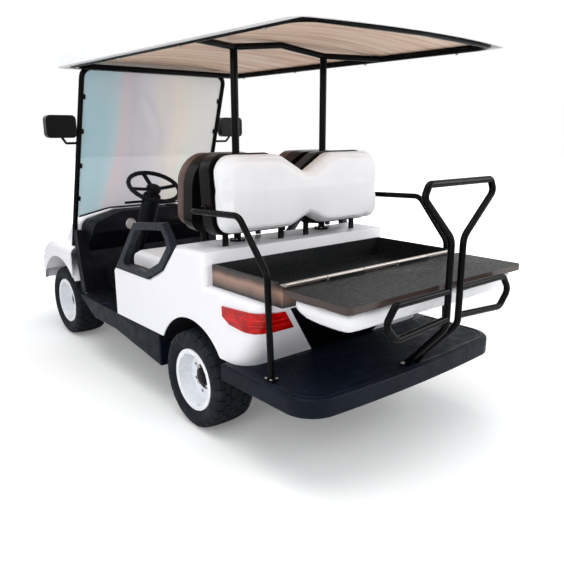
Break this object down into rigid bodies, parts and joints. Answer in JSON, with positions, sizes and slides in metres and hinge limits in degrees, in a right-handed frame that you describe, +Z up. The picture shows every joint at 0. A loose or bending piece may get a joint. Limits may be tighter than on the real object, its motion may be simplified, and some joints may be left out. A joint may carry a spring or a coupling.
{
  "type": "golf cart",
  "caption": "Open golf cart with roof, windshield, front bench, back-to-back rear seat folded out as a cargo bed, rear footplate and grab bar",
  "frame": {"origin": "on the ground under the middle of the overall length and width", "axes": "+Z up, -Y towards the front of the cart, +X towards the cart's left side"},
  "size_m": [1.348, 3.1, 1.7479],
  "materials": {
    "body_white": "smooth glossy moulding",
    "roof_white": "smooth moulding, satin",
    "seat_white": "smooth white vinyl, padded",
    "black_moulding": "textured dark moulding",
    "black_gloss": "glossy black moulding",
    "black_tube": "gloss black paint",
    "frame_steel": "satin black paint",
    "cast_steel": "dark casting",
    "battery": "plain black case",
    "tyre_rubber": "black rubber",
    "rim_white": "gloss white paint",
    "clear_sheet": "clear sheet",
    "lamp_red": "red lens",
    "lamp_clear": "clear lens",
    "bright_metal": "brushed"
  },
  "bodies": {
    "chassis": {"chassis_frame": "frame_steel", "front_axle": "cast_steel", "rear_axle": "cast_steel", "leaf_springs": "frame_steel", "drive_motor": "cast_steel", "battery_pack": "battery", "floor_panel": "black_moulding", "rocker_panels": "black_moulding", "front_cowl": "body_white", "head_lamps": "lamp_clear", "front_bumper": "black_moulding", "wheel_liners": "black_moulding", "dashboard": "black_moulding", "pedals": "black_moulding", "steering_column": "black_moulding", "windshield_frame": "black_tube", "windshield": "clear_sheet", "mirrors": "black_gloss", "roof_canopy": "roof_white", "roof_frame": "black_tube", "rear_body": "body_white", "rear_panel": "black_moulding", "tail_lamps": "lamp_red", "backrest_shells": "black_gloss", "rear_backrest_cushion": "seat_white", "front_backrest_cushion": "seat_white", "hip_restraints": "black_moulding", "arm_rails": "black_tube", "footplate": "black_moulding", "grab_bar": "black_tube", "cargo_tray": "black_gloss", "hinge_strip": "bright_metal"},
    "steering_wheel": {"steering_wheel": "black_moulding"},
    "knuckle_left": {"knuckle_left": "cast_steel"},
    "knuckle_right": {"knuckle_right": "cast_steel"},
    "front_seat": {"front_seat_cushion": "seat_white"},
    "flip_seat": {"flip_deck": "black_gloss", "flip_cushion": "seat_white"},
    "wheel_front_left": {"tyre_front_left": "tyre_rubber", "rim_front_left": "rim_white"},
    "wheel_front_right": {"tyre_front_right": "tyre_rubber", "rim_front_right": "rim_white"},
    "wheel_rear_left": {"tyre_rear_left": "tyre_rubber", "rim_rear_left": "rim_white"},
    "wheel_rear_right": {"tyre_rear_right": "tyre_rubber", "rim_rear_right": "rim_white"}
  },
  "joints": [
    {"name": "steer_left", "type": "hinge", "parent": "chassis", "child": "knuckle_left", "pos_m": [0.33, -1.13, 0.23], "axis": [0, 0, 1], "range_deg": [-28, 28]},
    {"name": "steer_right", "type": "hinge", "parent": "chassis", "child": "knuckle_right", "pos_m": [-0.33, -1.13, 0.23], "axis": [0, 0, 1], "range_deg": [-28, 28]},
    {"name": "steering_wheel_turn", "type": "hinge", "parent": "chassis", "child": "steering_wheel", "pos_m": [0.242, -0.3, 1.024], "axis": [0, 0.5, 0.866], "range_deg": [-425, 425]},
    {"name": "roll_front_left", "type": "hinge", "parent": "knuckle_left", "child": "wheel_front_left", "pos_m": [0.4, -1.13, 0.23], "axis": [1, 0, 0], "continuous": true},
    {"name": "roll_front_right", "type": "hinge", "parent": "knuckle_right", "child": "wheel_front_right", "pos_m": [-0.4, -1.13, 0.23], "axis": [1, 0, 0], "continuous": true},
    {"name": "roll_rear_left", "type": "hinge", "parent": "chassis", "child": "wheel_rear_left", "pos_m": [0.485, 0.58, 0.23], "axis": [1, 0, 0], "continuous": true},
    {"name": "roll_rear_right", "type": "hinge", "parent": "chassis", "child": "wheel_rear_right", "pos_m": [-0.485, 0.58, 0.23], "axis": [1, 0, 0], "continuous": true},
    {"name": "flip_seat_hinge", "type": "hinge", "parent": "chassis", "child": "flip_seat", "pos_m": [0, 1.17, 0.777], "axis": [1, 0, 0], "range_deg": [0, 180]},
    {"name": "front_seat_lid", "type": "hinge", "parent": "chassis", "child": "front_seat", "pos_m": [0, -0.155, 0.6003], "axis": [1, 0, 0], "range_deg": [0, 55]}
  ],
  "couplings": [
    {"joint": "steer_right", "follows": "steer_left", "ratio": 1},
    {"joint": "steering_wheel_turn", "follows": "steer_left", "ratio": 15}
  ]
}
